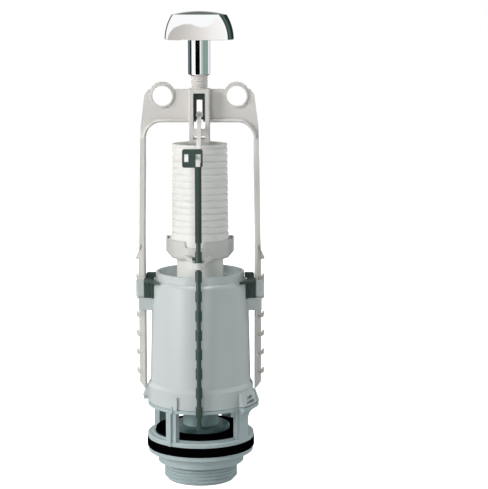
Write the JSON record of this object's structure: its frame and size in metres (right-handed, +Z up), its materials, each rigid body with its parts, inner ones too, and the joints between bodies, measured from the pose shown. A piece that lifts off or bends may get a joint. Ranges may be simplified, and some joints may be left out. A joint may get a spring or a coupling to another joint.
{
  "type": "toilet flush valve",
  "caption": "Pull-knob cistern flush valve: bell and seat base, overflow tube, height frame, beaded control rod and chrome knob.",
  "frame": {"origin": "centre of the outlet at the lower end of the threaded tail", "axes": "+Z up along the tube's axis to the knob, -Y to the front where the control rod hangs, +X to the right seen from the front"},
  "size_m": [0.1046, 0.0957, 0.3814],
  "materials": {
    "frame_plastic": "satin moulded",
    "bell_plastic": "satin moulded",
    "base_plastic": "satin moulded",
    "white_plastic": "soft gloss",
    "collar_plastic": "satin moulded",
    "dark_plastic": "satin moulded",
    "grey_plastic": "satin moulded",
    "disc_plastic": "satin moulded",
    "core_plastic": "satin moulded",
    "black_rubber": "smooth",
    "bright_chrome": "polished",
    "shaft_steel": "drawn"
  },
  "bodies": {
    "base": {"seat_base": "base_plastic", "base_seal": "black_rubber"},
    "bell": {"bell_housing": "bell_plastic", "deck_bush": "grey_plastic"},
    "bridge": {"frame": "frame_plastic", "threaded_stem": "frame_plastic", "clamp_sleeve": "bright_chrome"},
    "knob": {"pull_knob": "bright_chrome", "knob_core": "core_plastic", "pull_shaft": "shaft_steel", "slider_yoke": "dark_plastic", "yoke_pin": "dark_plastic"},
    "rod": {"lift_link": "white_plastic", "control_rod": "dark_plastic"},
    "valve": {"overflow_tube": "white_plastic", "tube_collar": "collar_plastic", "lower_tube": "white_plastic", "tube_seal": "black_rubber", "valve_tube": "grey_plastic", "float_cup": "grey_plastic", "seal_disc": "black_rubber", "seal_carrier": "disc_plastic", "seal_retainer": "disc_plastic"},
    "right_clip": {"right_lock_clip": "dark_plastic"},
    "left_clip": {"left_lock_clip": "dark_plastic"}
  },
  "joints": [
    {"name": "bell_twist", "type": "hinge", "parent": "base", "child": "bell", "pos_m": [0, 0, 0.07], "axis": [0, 0, 1], "range_deg": [0, 15]},
    {"name": "frame_height", "type": "slide", "parent": "bell", "child": "bridge", "axis": [0, 0, 1], "range_m": [0, 0.06216]},
    {"name": "knob_pull", "type": "slide", "parent": "bridge", "child": "knob", "axis": [0, 0, 1], "range_m": [0, 0.014]},
    {"name": "rod_lift", "type": "slide", "parent": "bridge", "child": "rod", "axis": [0, 0, 1], "range_m": [0, 0.014]},
    {"name": "valve_lift", "type": "slide", "parent": "bell", "child": "valve", "axis": [0, 0, 1], "range_m": [0, 0.014]},
    {"name": "right_clip_lift", "type": "slide", "parent": "bell", "child": "right_clip", "axis": [0, 0, 1], "range_m": [0, 0.008]},
    {"name": "left_clip_lift", "type": "slide", "parent": "bell", "child": "left_clip", "axis": [0, 0, 1], "range_m": [0, 0.008]}
  ],
  "couplings": [
    {"joint": "knob_pull", "follows": "valve_lift", "ratio": 1},
    {"joint": "rod_lift", "follows": "valve_lift", "ratio": 1}
  ]
}
